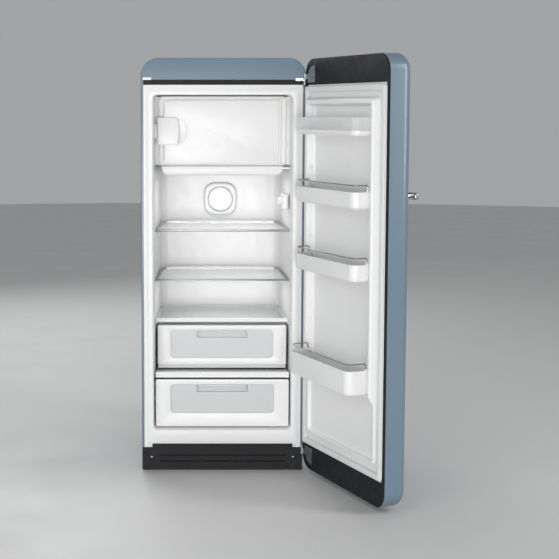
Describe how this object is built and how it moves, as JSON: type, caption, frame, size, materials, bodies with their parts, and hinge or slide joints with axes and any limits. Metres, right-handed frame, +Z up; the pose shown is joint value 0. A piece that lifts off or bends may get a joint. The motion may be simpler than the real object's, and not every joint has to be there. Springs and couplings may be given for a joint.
{
  "type": "single-door refrigerator with ice box",
  "caption": "Tall retro refrigerator with rounded shoulders, one crowned outer door with bins, glass shelves, drawers and an inner ice box with a flap.",
  "frame": {"origin": "middle of the bounding box's base, on the floor, with the door open 112 degrees", "axes": "+Z up, +X towards the hinge side, -Y towards the user in front of the cabinet"},
  "size_m": [0.9346, 1.158, 1.53],
  "materials": {
    "blue_paint": "gloss",
    "white_plastic": "satin",
    "black_plastic": "matte",
    "foam": "matte",
    "grey_steel": "satin",
    "chrome": "polished",
    "clear_glass": "polished",
    "grey_clear": "gloss",
    "gasket": "matte",
    "trim_grey": "satin",
    "black_metal": "satin",
    "rubber": "matte",
    "aluminium": "satin"
  },
  "bodies": {
    "cabinet": {"base_frame": "grey_steel", "cabinet_insulation": "foam", "cabinet_liner": "white_plastic", "cabinet_shell": "blue_paint", "compressor": "black_metal", "condenser": "black_metal", "drawer_cover_glass": "clear_glass", "drawer_cover_trim": "white_plastic", "drawer_divider": "white_plastic", "evaporation_tray": "black_plastic", "fan_cover": "white_plastic", "fan_housing": "white_plastic", "fan_motor": "black_plastic", "front_strip": "black_plastic", "hinge_bracket_bottom": "grey_steel", "hinge_bracket_top": "grey_steel", "ice_box_frame": "white_plastic", "ice_box_shell": "aluminium", "ice_box_tray": "white_plastic", "kick_plate": "black_plastic", "kick_screw_left": "grey_steel", "kick_screw_right": "grey_steel", "lamp_cover": "clear_glass", "power_inlet": "black_plastic", "rear_panel": "grey_steel", "roller_axle": "grey_steel", "thermostat_housing": "white_plastic"},
    "door": {"door_shell": "blue_paint", "door_insulation": "foam", "door_frame": "black_plastic", "door_liner": "white_plastic", "door_gasket": "gasket", "door_hinge_plate_top": "grey_steel", "door_hinge_plate_bottom": "grey_steel", "door_handle": "chrome"},
    "flap": {"ice_flap": "white_plastic", "ice_flap_latch": "white_plastic"},
    "shelf_upper": {"upper_shelf_frame": "trim_grey", "upper_shelf_glass": "clear_glass"},
    "shelf_lower": {"lower_shelf_frame": "trim_grey", "lower_shelf_glass": "clear_glass"},
    "drawer_upper": {"upper_drawer_front": "white_plastic", "upper_drawer_tub": "grey_clear"},
    "drawer_lower": {"lower_drawer_front": "white_plastic", "lower_drawer_tub": "grey_clear"},
    "bin_dairy": {"dairy_bin": "white_plastic", "dairy_bin_window": "clear_glass"},
    "bin_upper": {"upper_bin": "white_plastic", "upper_bin_rail": "chrome"},
    "bin_middle": {"middle_bin": "white_plastic", "middle_bin_rail": "chrome"},
    "bin_bottle": {"bottle_bin": "white_plastic", "bottle_bin_rail": "chrome"},
    "front_foot_left": {"foot_left": "rubber"},
    "front_foot_right": {"foot_right": "rubber"},
    "rear_roller_left": {"roller_left": "rubber"},
    "rear_roller_right": {"roller_right": "rubber"},
    "fan": {"fan_rotor": "black_plastic"},
    "knob": {"thermostat_knob": "white_plastic"},
    "switch": {"light_switch": "white_plastic"}
  },
  "joints": [
    {"name": "door_hinge", "type": "hinge", "parent": "cabinet", "child": "door", "pos_m": [0.13025, -0.0265, 0], "axis": [0, 0, 1], "range_deg": [-112, 13]},
    {"name": "ice_flap_hinge", "type": "hinge", "parent": "cabinet", "child": "flap", "pos_m": [0.04875, 0.0865, 1.142], "axis": [0, 0, 1], "range_deg": [0, 95]},
    {"name": "upper_shelf_slide", "type": "slide", "parent": "cabinet", "child": "shelf_upper", "axis": [0, -1, 0], "range_m": [0, 0.25]},
    {"name": "lower_shelf_slide", "type": "slide", "parent": "cabinet", "child": "shelf_lower", "axis": [0, -1, 0], "range_m": [0, 0.25]},
    {"name": "upper_drawer_slide", "type": "slide", "parent": "cabinet", "child": "drawer_upper", "axis": [0, -1, 0], "range_m": [0, 0.3]},
    {"name": "lower_drawer_slide", "type": "slide", "parent": "cabinet", "child": "drawer_lower", "axis": [0, -1, 0], "range_m": [0, 0.26]},
    {"name": "dairy_bin_lift", "type": "slide", "parent": "door", "child": "bin_dairy", "axis": [0, 0, 1], "range_m": [0, 0.03]},
    {"name": "upper_bin_lift", "type": "slide", "parent": "door", "child": "bin_upper", "axis": [0, 0, 1], "range_m": [0, 0.03]},
    {"name": "middle_bin_lift", "type": "slide", "parent": "door", "child": "bin_middle", "axis": [0, 0, 1], "range_m": [0, 0.03]},
    {"name": "bottle_bin_lift", "type": "slide", "parent": "door", "child": "bin_bottle", "axis": [0, 0, 1], "range_m": [0, 0.03]},
    {"name": "foot_left_turn", "type": "hinge", "parent": "cabinet", "child": "front_foot_left", "pos_m": [-0.41725, 0.0215, 0], "axis": [0, 0, 1], "continuous": true},
    {"name": "foot_right_turn", "type": "hinge", "parent": "cabinet", "child": "front_foot_right", "pos_m": [0.08375, 0.0215, 0], "axis": [0, 0, 1], "continuous": true},
    {"name": "roller_left_spin", "type": "hinge", "parent": "cabinet", "child": "rear_roller_left", "pos_m": [-0.42225, 0.5265, 0.017], "axis": [1, 0, 0], "continuous": true},
    {"name": "roller_right_spin", "type": "hinge", "parent": "cabinet", "child": "rear_roller_right", "pos_m": [0.08875, 0.5265, 0.017], "axis": [1, 0, 0], "continuous": true},
    {"name": "fan_spin", "type": "hinge", "parent": "cabinet", "child": "fan", "pos_m": [-0.16675, 0.4615, 0.984], "axis": [0, 1, 0], "continuous": true},
    {"name": "thermostat_turn", "type": "hinge", "parent": "cabinet", "child": "knob", "pos_m": [0.08975, 0.0995, 1], "axis": [1, 0, 0], "range_deg": [0, 270]},
    {"name": "switch_press", "type": "slide", "parent": "cabinet", "child": "switch", "axis": [1, 0, 0], "range_m": [0, 0.004], "stiffness_N_per_m": 150, "springref_m": -0.003}
  ]
}
